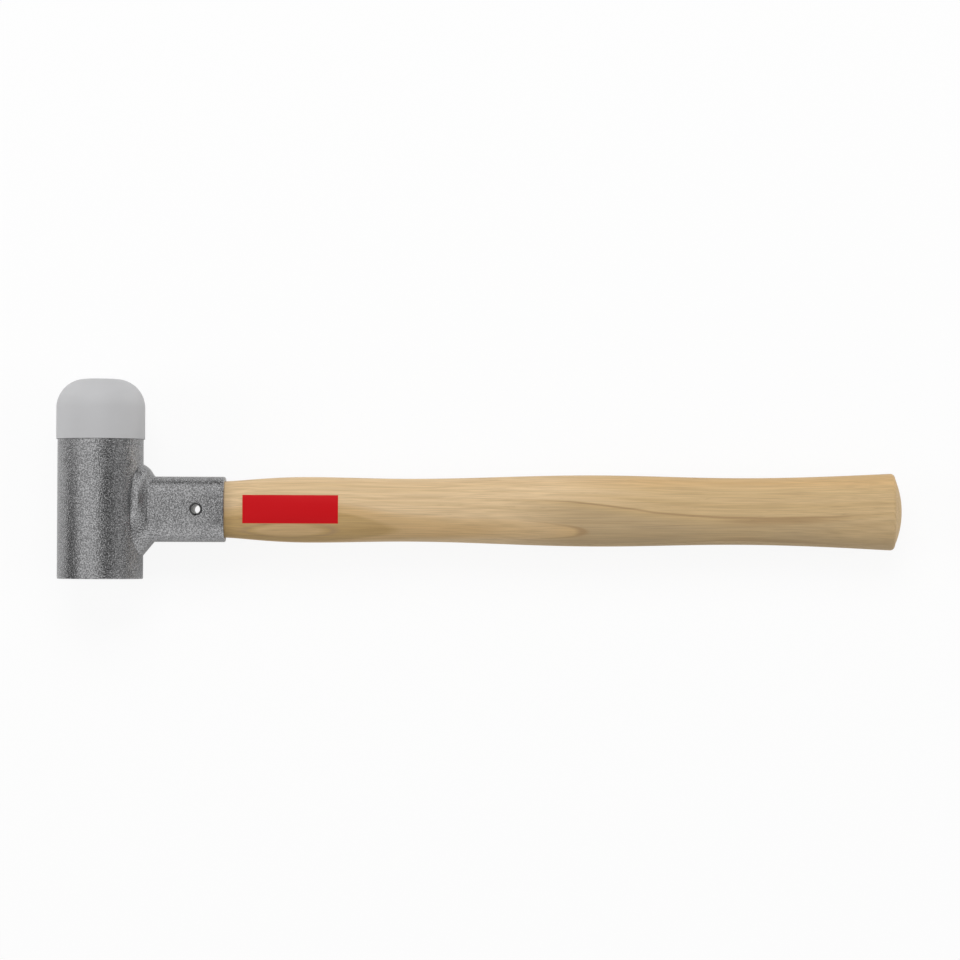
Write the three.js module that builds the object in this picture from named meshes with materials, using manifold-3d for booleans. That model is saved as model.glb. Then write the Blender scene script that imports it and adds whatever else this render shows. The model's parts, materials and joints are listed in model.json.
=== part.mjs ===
// Dead blow hammer with a nylon face, a steel face and a hickory handle, lying on its side.
// Lengths are millimetres. The origin is the centre of the steel face, +X runs along the handle
// to the butt, +Y runs along the head to the nylon face, and +Z is up.
import * as THREE from 'three';
import { mergeVertices } from 'three/addons/utils/BufferGeometryUtils.js';
import Module from 'manifold-3d';

const wasm = await Module();
wasm.setup();

// Head tube, with a seat turned in each end and the shot chamber between the seats
const TUBE_DIAMETER = 38;
const TUBE_LENGTH = 61.8;
const TUBE_RIM_CHAMFER = 0.5;
const CHAMBER_WALL = 4.5;
const SEAT_WALL = 3;
const SEAT_GAP = 0.15;

// Steel face, a plug in the lower seat
const PLUG_THICKNESS = 9;
const PLUG_CHAMFER = 0.5;

// Disc that shuts the shot chamber at the bottom of the upper seat
const DISC_THICKNESS = 3;
const DISC_CHAMFER = 0.4;

// Nylon insert, a rounded striking head on a ribbed shank
const INSERT_DIAMETER = 39.2;
const INSERT_HEIGHT = 26.6;
const INSERT_ROUNDING = 12.8;
const INSERT_BASE_CHAMFER = 0.4;
const SHANK_LENGTH = 12;
const SHANK_GROOVE_WIDTH = 1.6;
const SHANK_GROOVE_DEPTH = 0.8;
const SHANK_GROOVES = 3;

// Loose steel shot, in close-packed layers on the plug
const SHOT_DIAMETER = 8;
const SHOT_GAP = 0.3;
const SHOT_LAYERS = 4;

// Handle socket, an oval steel sleeve welded square to the middle of the tube
const SOCKET_WIDTH = 28.9;
const SOCKET_THICKNESS = 21;
const SOCKET_WALL = 1.8;
const SOCKET_LENGTH = 36.3;
const SOCKET_MOUTH_CHAMFER = 0.6;
const SOCKET_SQUARENESS = 3.2;

// Fillet weld round the foot of the socket: a full bead on the flat sides, which runs out on the lower
// edge. Its legs differ on the flat sides, the upper edge and the lower edge, and the crown's place and
// reach are shares of the socket's half width.
const WELD_SIDE_TUBE_LEG = 3.2;
const WELD_UPPER_TUBE_LEG = 5.4;
const WELD_LOWER_TUBE_LEG = 6.2;
const WELD_SIDE_SOCKET_LEG = 5.6;
const WELD_UPPER_SOCKET_LEG = 6;
const WELD_LOWER_SOCKET_LEG = 5.2;
const WELD_CROWN = 3;
const WELD_CROWN_PLACE = 0.32;
const WELD_CROWN_REACH = 0.75;
const WELD_RIDGE_POWER = 1.4;
const WELD_GAP = 0.3;

// Slotted hollow pin through the socket and the handle
const PIN_DIAMETER = 5.2;
const PIN_WALL = 0.75;
const PIN_SLOT = 0.8;
const PIN_GAP = 0.2;
const PIN_RECESS = 0.3;
const PIN_SETBACK = 12.3;

// Handle: exposed length from the socket's mouth, and the sections along it
const HANDLE_LENGTH = 299.4;
const HANDLE_FIT_GAP = 0.2;
const TENON_END_GAP = 0.5;
const FORE_SWELL_WIDTH = 29;
const FORE_SWELL_THICKNESS = 21;
const WAIST_WIDTH = 27.8;
const WAIST_THICKNESS = 20;
const PALM_SWELL_WIDTH = 31.5;
const PALM_SWELL_THICKNESS = 23.5;
const GRIP_NECK_WIDTH = 29.5;
const GRIP_NECK_THICKNESS = 22;
const BUTT_WIDTH = 33.9;
const BUTT_THICKNESS = 25.5;
const BUTT_EDGE_RADIUS = 1.8;
const BUTT_DOME = 3.2;
const GRIP_SQUARENESS = 2.3;

// Where the swells and waists lie, as shares of the exposed length
const FORE_SWELL_SHARE = 0.125;
const WAIST_SHARE = 0.267;
const PALM_SWELL_SHARE = 0.548;
const GRIP_NECK_SHARE = 0.755;

// Facets
const TURNED_SIDES = 48;
const ROUNDING_STEPS = 7;
const SOCKET_SIDES = 44;
const PIN_SIDES = 24;
const SHOT_DETAIL = 2;
const WELD_FACE_STEPS = 6;
const HANDLE_RINGS = 32;
const BUTT_EDGE_STEPS = 3;
const BUTT_DOME_STEPS = 4;
const MERGE_TOLERANCE = 1e-4;
const CUT_OVERRUN = 1;

// Places that follow from the sizes
const tubeRadius = TUBE_DIAMETER / 2;
const seatRadius = tubeRadius - SEAT_WALL;
const chamberRadius = tubeRadius - CHAMBER_WALL;
const socketMouth = tubeRadius + SOCKET_LENGTH;
const handleHeight = TUBE_LENGTH / 2;
const upperSeatDepth = DISC_THICKNESS + SHANK_LENGTH;
const discFloor = TUBE_LENGTH - upperSeatDepth;
const pinPlace = socketMouth - PIN_SETBACK;

// Finishes
const finish = (color, roughness, metalness) => (
  new THREE.MeshStandardMaterial({ color, roughness, metalness })
);
const greyPaint = finish(0x7c7c7e, 0.45, 0.4);
const brightSteel = finish(0xc9cac8, 0.3, 0.9);
const darkSteel = finish(0x4a4a4c, 0.4, 0.9);
const greyNylon = finish(0xbbbbbc, 0.55, 0);
const hickory = finish(0xcdb083, 0.5, 0);

function piece(name, geometry, material) {
  const mesh = new THREE.Mesh(geometry, material);
  mesh.name = name;
  return mesh;
}

// A closed geometry as a solid that can be joined and cut
function toSolid(geometry) {
  const bare = geometry.clone();
  bare.deleteAttribute('normal');
  bare.deleteAttribute('uv');
  const merged = mergeVertices(bare, MERGE_TOLERANCE);
  return new wasm.Manifold(new wasm.Mesh({
    numProp: 3,
    vertProperties: merged.attributes.position.array,
    triVerts: Uint32Array.from(merged.index.array),
  }));
}

function toGeometry(solid) {
  const { vertProperties, triVerts } = solid.getMesh();
  const geometry = new THREE.BufferGeometry();
  geometry.setAttribute('position', new THREE.BufferAttribute(vertProperties, 3));
  geometry.setIndex(new THREE.BufferAttribute(triVerts, 1));
  geometry.computeVertexNormals();
  return geometry;
}

// A turned piece on the Y axis from [radius, height] corners, counter-clockwise round the section
function turned(corners, sides = TURNED_SIDES) {
  const points = corners.map(([radius, height]) => new THREE.Vector2(radius, height));
  return new THREE.LatheGeometry(points, sides);
}

// A skin over sections of equally many points, shut by flat ends or led back to the first section
function loft(sections, isRing = false) {
  const count = sections[0].length;
  const points = sections.flat();
  const faces = [];
  const spans = isRing ? sections.length : sections.length - 1;
  for (let s = 0; s < spans; s++) {
    const here = s * count;
    const next = ((s + 1) % sections.length) * count;
    for (let i = 0; i < count; i++) {
      const j = (i + 1) % count;
      faces.push(here + i, here + j, next + j, here + i, next + j, next + i);
    }
  }
  if (!isRing) {
    const last = (sections.length - 1) * count;
    const firstCentre = points.push(centreOf(sections[0])) - 1;
    const lastCentre = points.push(centreOf(sections.at(-1))) - 1;
    for (let i = 0; i < count; i++) {
      const j = (i + 1) % count;
      faces.push(firstCentre, j, i, lastCentre, last + i, last + j);
    }
  }
  const geometry = new THREE.BufferGeometry().setFromPoints(points);
  geometry.setIndex(faces);
  geometry.computeVertexNormals();
  return geometry;
}

function centreOf(section) {
  const sum = section.reduce((total, point) => total.add(point), new THREE.Vector3());
  return sum.divideScalar(section.length);
}

// A point of a squared oval in the YZ plane, and the way out from it
function ovalPoint(width, thickness, squareness, turn) {
  const along = (value) => Math.sign(value) * Math.abs(value) ** (2 / squareness);
  return new THREE.Vector3(0, width / 2 * along(Math.cos(turn)), thickness / 2 * along(Math.sin(turn)));
}

function ovalNormal(width, thickness, squareness, point) {
  const slope = (value, half) => Math.sign(value) * Math.abs(value / half) ** (squareness - 1) / half;
  return new THREE.Vector3(0, slope(point.y, width / 2), slope(point.z, thickness / 2)).normalize();
}

const turns = Array.from({ length: SOCKET_SIDES }, (_, i) => i / SOCKET_SIDES * 2 * Math.PI);

function ovalSection(x, width, thickness, squareness) {
  return turns.map((turn) => ovalPoint(width, thickness, squareness, turn).setX(x));
}

// The hole that the pin is driven into, through both sides of the socket
function pinHole() {
  const radius = PIN_DIAMETER / 2 + PIN_GAP;
  const hole = new THREE.CylinderGeometry(radius, radius, SOCKET_THICKNESS + 2 * CUT_OVERRUN, PIN_SIDES);
  return toSolid(hole.rotateX(Math.PI / 2).translate(pinPlace, 0, 0));
}

function headTube() {
  const rim = tubeRadius - TUBE_RIM_CHAMFER;
  return turned([
    [seatRadius, 0], [rim, 0], [tubeRadius, TUBE_RIM_CHAMFER],
    [tubeRadius, TUBE_LENGTH - TUBE_RIM_CHAMFER], [rim, TUBE_LENGTH],
    [seatRadius, TUBE_LENGTH], [seatRadius, discFloor], [chamberRadius, discFloor],
    [chamberRadius, PLUG_THICKNESS], [seatRadius, PLUG_THICKNESS], [seatRadius, 0],
  ]);
}

function steelFace() {
  const radius = seatRadius - SEAT_GAP;
  return turned([
    [0, 0], [radius - PLUG_CHAMFER, 0], [radius, PLUG_CHAMFER],
    [radius, PLUG_THICKNESS], [0, PLUG_THICKNESS],
  ]);
}

function chamberDisc() {
  const radius = seatRadius - SEAT_GAP;
  const top = discFloor + DISC_THICKNESS;
  return turned([
    [0, discFloor], [radius - DISC_CHAMFER, discFloor], [radius, discFloor + DISC_CHAMFER],
    [radius, top - DISC_CHAMFER], [radius - DISC_CHAMFER, top], [0, top],
  ]);
}

// The shank's grooves leave ribs that grip the seat, and the head's edge is one quarter round
function nylonInsert() {
  const shank = seatRadius - SEAT_GAP;
  const head = INSERT_DIAMETER / 2;
  const floor = TUBE_LENGTH - SHANK_LENGTH;
  const ribPitch = SHANK_LENGTH / (SHANK_GROOVES + 1);
  const corners = [[0, floor], [shank, floor]];
  for (let groove = 1; groove <= SHANK_GROOVES; groove++) {
    const low = floor + groove * ribPitch - SHANK_GROOVE_WIDTH / 2;
    const high = low + SHANK_GROOVE_WIDTH;
    const core = shank - SHANK_GROOVE_DEPTH;
    corners.push([shank, low], [core, low], [core, high], [shank, high]);
  }
  corners.push([shank, TUBE_LENGTH], [head - INSERT_BASE_CHAMFER, TUBE_LENGTH]);
  corners.push([head, TUBE_LENGTH + INSERT_BASE_CHAMFER]);
  const top = TUBE_LENGTH + INSERT_HEIGHT;
  for (let step = 0; step <= ROUNDING_STEPS; step++) {
    const angle = step / ROUNDING_STEPS * Math.PI / 2;
    corners.push([
      head - INSERT_ROUNDING * (1 - Math.cos(angle)),
      top - INSERT_ROUNDING * (1 - Math.sin(angle)),
    ]);
  }
  corners.push([0, top]);
  return turned(corners);
}

// Ball centres in layers that sit in each other's hollows, as many as the chamber's bore takes
function shotCentres() {
  const pitch = SHOT_DIAMETER + SHOT_GAP;
  const rowPitch = pitch * Math.sqrt(3) / 2;
  const layerPitch = pitch * Math.sqrt(2 / 3);
  const reach = chamberRadius - SHOT_DIAMETER / 2 - SHOT_GAP;
  const rows = Math.ceil(reach / rowPitch) + 1;
  const centres = [];
  for (let layer = 0; layer < SHOT_LAYERS; layer++) {
    const y = PLUG_THICKNESS + SHOT_GAP + SHOT_DIAMETER / 2 + layer * layerPitch;
    const isHollowLayer = layer % 2 === 1;
    for (let row = -rows; row <= rows; row++) {
      for (let column = -2 * rows; column <= 2 * rows; column++) {
        const x = (column + row / 2 + (isHollowLayer ? 1 / 2 : 0)) * pitch;
        const z = (row + (isHollowLayer ? 1 / 3 : 0)) * rowPitch;
        if (Math.hypot(x, z) <= reach) centres.push(new THREE.Vector3(x, y, z));
      }
    }
  }
  return centres;
}

// The sleeve's wall, coped to the tube and drilled for the pin
function handleSocket() {
  const boreWidth = SOCKET_WIDTH - 2 * SOCKET_WALL;
  const boreThickness = SOCKET_THICKNESS - 2 * SOCKET_WALL;
  const neck = socketMouth - SOCKET_MOUTH_CHAMFER;
  const mouthWidth = SOCKET_WIDTH - 2 * SOCKET_MOUTH_CHAMFER;
  const mouthThickness = SOCKET_THICKNESS - 2 * SOCKET_MOUTH_CHAMFER;
  const outside = toSolid(loft([
    ovalSection(0, SOCKET_WIDTH, SOCKET_THICKNESS, SOCKET_SQUARENESS),
    ovalSection(neck, SOCKET_WIDTH, SOCKET_THICKNESS, SOCKET_SQUARENESS),
    ovalSection(socketMouth, mouthWidth, mouthThickness, SOCKET_SQUARENESS),
  ]));
  const bore = toSolid(loft([
    ovalSection(-CUT_OVERRUN, boreWidth, boreThickness, SOCKET_SQUARENESS),
    ovalSection(socketMouth + CUT_OVERRUN, boreWidth, boreThickness, SOCKET_SQUARENESS),
  ]));
  return toGeometry(outside.subtract(bore).subtract(tubeCutter()).subtract(pinHole()));
}

// The room that the tube takes up between the socket and the weld
function tubeCutter() {
  const radius = tubeRadius + WELD_GAP;
  return toSolid(turned([
    [0, -TUBE_LENGTH], [radius, -TUBE_LENGTH], [radius, TUBE_LENGTH], [0, TUBE_LENGTH],
  ]));
}

// How far the bead stands out of the straight fillet at a share of the socket's half width
function weldCrown(widthShare) {
  return WELD_CROWN * Math.max(0, 1 - ((widthShare - WELD_CROWN_PLACE) / WELD_CROWN_REACH) ** 2);
}

// The bead follows the saddle where the sleeve meets the tube, and fills the corner between them
function socketWeld() {
  const onTube = (y, angle) => (
    new THREE.Vector3(tubeRadius * Math.cos(angle), y, tubeRadius * Math.sin(angle))
  );
  const sections = turns.map((turn) => {
    const foot = ovalPoint(SOCKET_WIDTH, SOCKET_THICKNESS, SOCKET_SQUARENESS, turn);
    const out = ovalNormal(SOCKET_WIDTH, SOCKET_THICKNESS, SOCKET_SQUARENESS, foot);
    const footAngle = Math.asin(foot.z / tubeRadius);
    const root = onTube(foot.y, footAngle);
    const isUpper = out.y > 0;
    const edgeTubeLeg = isUpper ? WELD_UPPER_TUBE_LEG : WELD_LOWER_TUBE_LEG;
    const edgeSocketLeg = isUpper ? WELD_UPPER_SOCKET_LEG : WELD_LOWER_SOCKET_LEG;
    const tubeLeg = THREE.MathUtils.lerp(WELD_SIDE_TUBE_LEG, edgeTubeLeg, out.y ** 2);
    const socketLeg = THREE.MathUtils.lerp(WELD_SIDE_SOCKET_LEG, edgeSocketLeg, out.y ** 2);
    const tubeToe = onTube(foot.y + tubeLeg * out.y, footAngle + tubeLeg * out.z / tubeRadius);
    const socketToe = root.clone().setX(root.x + socketLeg);
    const crownWay = tubeToe.clone().add(socketToe).divideScalar(2).sub(root).normalize();
    const crown = weldCrown(foot.y / (SOCKET_WIDTH / 2));
    const section = [root];
    for (let step = 0; step <= WELD_FACE_STEPS; step++) {
      const share = step / WELD_FACE_STEPS;
      const ridge = crown * (1 - Math.abs(1 - 2 * share) ** WELD_RIDGE_POWER);
      section.push(socketToe.clone().lerp(tubeToe, share).addScaledVector(crownWay, ridge));
    }
    return section;
  });
  const sleeveWidth = SOCKET_WIDTH + 2 * WELD_GAP;
  const sleeveThickness = SOCKET_THICKNESS + 2 * WELD_GAP;
  const sleeve = toSolid(loft([
    ovalSection(0, sleeveWidth, sleeveThickness, SOCKET_SQUARENESS),
    ovalSection(socketMouth, sleeveWidth, sleeveThickness, SOCKET_SQUARENESS),
  ]));
  return toGeometry(toSolid(loft(sections, true)).subtract(tubeCutter()).subtract(sleeve));
}

// A rolled strip, open along one slot that faces the steel face's side
function springPin() {
  const outer = PIN_DIAMETER / 2;
  const inner = outer - PIN_WALL;
  const slotAngle = PIN_SLOT / PIN_DIAMETER;
  const strip = new THREE.Shape();
  strip.absarc(0, 0, outer, slotAngle, 2 * Math.PI - slotAngle, false);
  strip.absarc(0, 0, inner, 2 * Math.PI - slotAngle, slotAngle, true);
  const depth = SOCKET_THICKNESS - 2 * PIN_RECESS;
  const pin = new THREE.ExtrudeGeometry(strip, { depth, bevelEnabled: false, curveSegments: PIN_SIDES });
  return pin.rotateZ(-Math.PI / 2).translate(pinPlace, 0, -depth / 2);
}

// The carved handle: a tenon in the socket, two swells, a flared butt with a rounded edge and a domed end
function handle() {
  const tenonWidth = SOCKET_WIDTH - 2 * SOCKET_WALL - 2 * HANDLE_FIT_GAP;
  const tenonThickness = SOCKET_THICKNESS - 2 * SOCKET_WALL - 2 * HANDLE_FIT_GAP;
  const gripSizes = (width, thickness) => [width, thickness, GRIP_SQUARENESS];
  const buttShare = 1 - (BUTT_DOME + BUTT_EDGE_RADIUS) / HANDLE_LENGTH;
  const stations = [
    { share: 0, sizes: [tenonWidth, tenonThickness, SOCKET_SQUARENESS] },
    { share: FORE_SWELL_SHARE, sizes: gripSizes(FORE_SWELL_WIDTH, FORE_SWELL_THICKNESS), ease: rise },
    { share: WAIST_SHARE, sizes: gripSizes(WAIST_WIDTH, WAIST_THICKNESS), ease: wave },
    { share: PALM_SWELL_SHARE, sizes: gripSizes(PALM_SWELL_WIDTH, PALM_SWELL_THICKNESS), ease: wave },
    { share: GRIP_NECK_SHARE, sizes: gripSizes(GRIP_NECK_WIDTH, GRIP_NECK_THICKNESS), ease: wave },
    { share: buttShare, sizes: gripSizes(BUTT_WIDTH, BUTT_THICKNESS), ease: flare },
  ];
  const sections = [ovalSection(tubeRadius + TENON_END_GAP, tenonWidth, tenonThickness, SOCKET_SQUARENESS)];
  for (let ring = 0; ring <= HANDLE_RINGS; ring++) {
    const share = buttShare * ring / HANDLE_RINGS;
    sections.push(ovalSection(socketMouth + share * HANDLE_LENGTH, ...sizesAt(stations, share)));
  }
  const buttPlace = socketMouth + buttShare * HANDLE_LENGTH;
  for (let step = 1; step <= BUTT_EDGE_STEPS; step++) {
    const angle = step / BUTT_EDGE_STEPS * Math.PI / 2;
    const inset = 2 * BUTT_EDGE_RADIUS * (1 - Math.cos(angle));
    const x = buttPlace + BUTT_EDGE_RADIUS * Math.sin(angle);
    sections.push(ovalSection(x, BUTT_WIDTH - inset, BUTT_THICKNESS - inset, GRIP_SQUARENESS));
  }
  const domeWidth = BUTT_WIDTH - 2 * BUTT_EDGE_RADIUS;
  const domeThickness = BUTT_THICKNESS - 2 * BUTT_EDGE_RADIUS;
  for (let step = 1; step <= BUTT_DOME_STEPS; step++) {
    const share = 1 - step / (BUTT_DOME_STEPS + 1);
    const x = buttPlace + BUTT_EDGE_RADIUS + BUTT_DOME * (1 - share ** 2);
    sections.push(ovalSection(x, domeWidth * share, domeThickness * share, GRIP_SQUARENESS));
  }
  return toGeometry(toSolid(loft(sections)).subtract(pinHole()));
}

// How the handle's outline runs up to a station: quickly out of the socket, in a wave, or as a flare
const wave = (share) => (1 - Math.cos(share * Math.PI)) / 2;
const rise = (share) => wave(share ** 0.7);
const flare = (share) => 1 - Math.cos(share * Math.PI / 2);

// The section's sizes at a share of the length, eased from one station to the next
function sizesAt(stations, share) {
  const next = stations.findIndex((station) => station.share >= share && station.ease);
  const [from, to] = [stations[next - 1], stations[next]];
  const way = to.ease((share - from.share) / (to.share - from.share));
  return from.sizes.map((size, i) => THREE.MathUtils.lerp(size, to.sizes[i], way));
}

const hammer = new THREE.Group();
hammer.add(
  piece('head_tube', headTube(), greyPaint),
  piece('steel_face', steelFace(), brightSteel),
  piece('chamber_disc', chamberDisc(), brightSteel),
  piece('nylon_insert', nylonInsert(), greyNylon),
);
shotCentres().forEach((centre, index) => {
  const ball = piece(
    `shot_ball_${String(index + 1).padStart(2, '0')}`,
    new THREE.IcosahedronGeometry(SHOT_DIAMETER / 2, SHOT_DETAIL),
    brightSteel,
  );
  ball.position.copy(centre);
  hammer.add(ball);
});

const shaft = new THREE.Group();
shaft.position.y = handleHeight;
shaft.add(
  piece('handle_socket', handleSocket(), greyPaint),
  piece('socket_weld', socketWeld(), greyPaint),
  piece('spring_pin', springPin(), darkSteel),
  piece('handle', handle(), hickory),
);
hammer.add(shaft);

export default hammer;
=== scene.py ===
import json
import math

import bmesh
import bpy
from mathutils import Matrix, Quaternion, Vector

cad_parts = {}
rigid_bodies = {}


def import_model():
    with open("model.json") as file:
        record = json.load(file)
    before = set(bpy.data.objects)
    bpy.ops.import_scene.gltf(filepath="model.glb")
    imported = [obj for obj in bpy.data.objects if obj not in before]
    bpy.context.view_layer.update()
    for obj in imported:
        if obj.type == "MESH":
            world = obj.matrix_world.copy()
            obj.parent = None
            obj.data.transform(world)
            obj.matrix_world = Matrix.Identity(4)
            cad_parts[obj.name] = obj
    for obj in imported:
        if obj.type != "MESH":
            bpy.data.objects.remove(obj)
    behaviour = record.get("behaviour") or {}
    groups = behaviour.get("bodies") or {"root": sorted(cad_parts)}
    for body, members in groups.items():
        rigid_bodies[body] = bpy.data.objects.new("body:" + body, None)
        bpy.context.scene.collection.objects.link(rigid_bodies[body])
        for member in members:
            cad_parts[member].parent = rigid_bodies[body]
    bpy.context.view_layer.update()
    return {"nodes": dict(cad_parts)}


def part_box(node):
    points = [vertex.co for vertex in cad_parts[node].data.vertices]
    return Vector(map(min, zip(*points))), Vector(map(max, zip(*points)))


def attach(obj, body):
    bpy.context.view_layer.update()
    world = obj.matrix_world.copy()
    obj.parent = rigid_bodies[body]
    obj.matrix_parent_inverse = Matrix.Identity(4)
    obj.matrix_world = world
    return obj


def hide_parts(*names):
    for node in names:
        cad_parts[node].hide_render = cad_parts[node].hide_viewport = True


MM = 0.001

# Head: the sizes of the part's source, with finer edges
TUBE_RADIUS = 19 * MM
TUBE_RIM_ROUNDING = 0.5 * MM
TUBE_TOP_ROUNDING = 0.15 * MM
SEAT_RADIUS = 16 * MM
CHAMBER_RADIUS = 14.5 * MM
SEAT_GAP = 0.15 * MM
PLUG_THICKNESS = 9 * MM
PLUG_ROUNDING = 0.5 * MM
DISC_THICKNESS = 3 * MM
INSERT_RADIUS = 19.6 * MM
INSERT_ROUNDING = 12.8 * MM
INSERT_BASE_ROUNDING = 0.1 * MM
SHANK_LENGTH = 12 * MM
SHANK_GROOVES = 3
SHANK_GROOVE_WIDTH = 1.6 * MM
SHANK_GROOVE_DEPTH = 0.8 * MM
SHOT_RADIUS = 4 * MM

# Socket and pin
SOCKET_WIDTH = 28.9 * MM
SOCKET_THICKNESS = 21 * MM
SOCKET_WALL = 1.8 * MM
SOCKET_MOUTH_ROUNDING = 0.6 * MM
SOCKET_SQUARENESS = 3.2
SOCKET_FOOT_GAP = 0.3 * MM
PIN_RADIUS = 2.6 * MM
PIN_WALL = 0.75 * MM
PIN_SLOT = 0.8 * MM
PIN_GAP = 0.2 * MM
PIN_EDGE = 0.12 * MM
PIN_EDGE_ANGLE = math.radians(50)

# Weld: its legs on the tube and on the socket, and its crown by shares of the socket's half width
WELD_SIDE_LEGS = (2.4 * MM, 6.1 * MM)
WELD_UPPER_LEGS = (5.4 * MM, 5.5 * MM)
WELD_LOWER_LEGS = (6.2 * MM, 5.2 * MM)
WELD_CROWN = 3 * MM
WELD_CROWN_PLACE = 0.25
WELD_CROWN_REACH = 0.85
WELD_RUN_OUT_REACH = 0.88
WELD_RUN_OUT_POWER = 2.2
WELD_SIDE_CREST = 0.62
WELD_EDGE_CREST = 0.55
WELD_SIDE_CROWN_SHARE = 0.75
WELD_TOE_POWER = 1.35
WELD_TOE_SINK = 0.08 * MM

# Handle: each station's share of the exposed length, its width and its thickness
HANDLE_FIT_GAP = 0.2 * MM
GRIP_SQUARENESS = 2.3
FORE_SWELL = (0.125, 29 * MM, 21 * MM)
FORE_RISE_POWER = 0.7
WAIST = (0.267, 27.8 * MM, 20 * MM)
PALM_SWELL = (0.548, 31.5 * MM, 23.5 * MM)
GRIP_NECK = (0.755, 29.5 * MM, 22 * MM)
BUTT_WIDTH = 33.9 * MM
BUTT_THICKNESS = 25.5 * MM
BUTT_EDGE_RADIUS = 1.8 * MM
BUTT_DOME = 3.2 * MM

# How fine the meshes are
TURNED_SIDES = 128
OVAL_SIDES = 128
PIN_SIDES = 64
PIN_EDGE_STEPS = 2
SHOT_SIDES = 24
ARC_STEPS = 6
ROUNDING_STEPS = 24
SOCKET_RINGS = 4
WELD_FACE_STEPS = 18
HANDLE_RINGS = 120
DOME_STEPS = 10
SMOOTH_ANGLE = math.radians(32)
CAP_SHARE = 0.93
MERGE_DISTANCE = 0.001 * MM
ROUND_OFF = 1e-9

# Finishes: tones are dark and light, grain is scale and contrast, and bumps are strength and depth
PAINT_TONES = ((0.15, 0.15, 0.152, 1), (0.45, 0.45, 0.455, 1))
PAINT_SPECKLE = (1700, 0.12)
PAINT_CLOUD = (60, 0.3)
PAINT_CLOUD_SHADES = (0.94, 1.05)
PAINT_ROUGHNESS = (0.2, 0.15)
PAINT_DIMPLES = (1600, 1600, 1600)
PAINT_BUMP = (1.0, 0.2 * MM)
PAINT_METALLIC = 0.9
NYLON_TONES = ((0.5, 0.5, 0.508, 1), (0.54, 0.54, 0.548, 1))
NYLON_CLOUD = (45, 0.3)
NYLON_GRAIN = (1800, 0.3)
NYLON_ROUGHNESS = (0.52, 0.62)
NYLON_BUMP = (0.15, 0.1 * MM)
NYLON_SPECULAR = 0.3
TURNED_TONES = ((0.5, 0.5, 0.49, 1), (0.66, 0.66, 0.65, 1))
TURNED_RINGS = 3200
TURNED_CLOUD = (90, 0.25)
TURNED_ROUGHNESS = (0.28, 0.4)
TURNED_BUMP = (0.25, 0.05 * MM)
STEEL_CLOUD = (400, 0.25)
STEEL_BUMP = (0.1, 0.05 * MM)
# The pin's dark tones on its ends and outside are painted shade of the hole it sits in; its bore is
# bright bare steel.
PIN_SHADE_TONES = ((0.06, 0.06, 0.062, 1), (0.11, 0.11, 0.112, 1))
PIN_BORE_TONE = (0.85, 0.85, 0.83, 1)
PIN_ROUGHNESS = (0.3, 0.42)
SHOT_TONES = ((0.5, 0.5, 0.5, 1), (0.62, 0.62, 0.61, 1))
SHOT_ROUGHNESS = (0.22, 0.34)

# Colour sockets of the Mix node, whose names are shared with its other sockets
MIX_SHARE, MIX_FIRST, MIX_SECOND = 0, 6, 7
MIX_RESULT = 2

# Noise: how much fine detail it has, and the middle of its range
FINE_DETAIL = 3.0
SOFT_DETAIL = 2.0
DIMPLE_DETAIL = 1.0
GRAIN_ROUGHNESS = 0.55
NOISE_MIDDLE = 0.5

# Growth rings of the handle's wood, about a pith that lies behind it
PITH_DISTANCE = 60 * MM
PITH_LEAN = math.radians(22)
RING_TILT = -0.0145
RING_SWAY = 0.5 * MM
RING_LIFT = 3.8 * MM
RING_LIFT_REACH = (68 * MM, 290 * MM)
RING_SHIFT = 2.2 * MM
RING_SHIFT_REACH = (230 * MM, 315 * MM)

# Tones of the wood
PALE_WOOD = (0.73, 0.54, 0.325, 1)
MID_WOOD = (0.565, 0.40, 0.205, 1)
RUDDY_WOOD = (0.66, 0.41, 0.175, 1)
BROWN_WOOD = (0.40, 0.265, 0.135, 1)
OLIVE_WOOD = (0.47, 0.345, 0.198, 1)
STRAW_WOOD = (0.585, 0.395, 0.195, 1)
TAN_WOOD = (0.47, 0.312, 0.132, 1)
PORE_BROWN = (0.2, 0.12, 0.06, 1)

# Where the wood changes along the handle, and the share of each tone before and after
PALE_END = (200 * MM, 245 * MM)
PALE_SHARES = (0.85, 0.15)
RUDDY_SHARES = (0.1, 0.45)
OLIVE_SHADE_SHARES = (0, 0.45)
FIGURE_START = (176 * MM, 212 * MM)
FIGURE_END = (308 * MM, 335 * MM)
FIGURE_END_SHARE = 0.35

# How far above and below the handle's axis a tone sets in, and how softly
RUDDY_EDGE = (10.5 * MM, 2 * MM)
# The olive lower edge is partly the wood's tone and partly painted shade on the handle's underside.
OLIVE_SHADE_EDGE = (12 * MM, 1.5 * MM)

# Rings past the straw at the front: the depth in millimetres where each tone sets in
RING_TONES = (
    (7.62, MID_WOOD), (7.72, BROWN_WOOD), (7.86, BROWN_WOOD), (8.02, MID_WOOD), (9.0, OLIVE_WOOD),
    (10.55, OLIVE_WOOD), (10.61, BROWN_WOOD), (10.66, BROWN_WOOD), (10.76, STRAW_WOOD),
    (12.0, STRAW_WOOD), (12.3, TAN_WOOD), (13.5, TAN_WOOD),
    (13.68, BROWN_WOOD), (13.78, TAN_WOOD), (13.95, STRAW_WOOD),
)
RING_TONES_SOFTNESS = 0.15

# Rings that show along the whole handle: the depth from which they do, and how softly
FORE_DEPTH = (10.9, 0.6)

# Brown patch on the neck of the grip: its ends along the handle, and its first and last rings
NECK_START = (262 * MM, 292 * MM)
NECK_END = (306 * MM, 345 * MM)
NECK_FIRST_RING = (7.6, 7.75)
NECK_LAST_RING = (8.2, 8.7)
NECK_SHARE = 0.75

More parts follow.
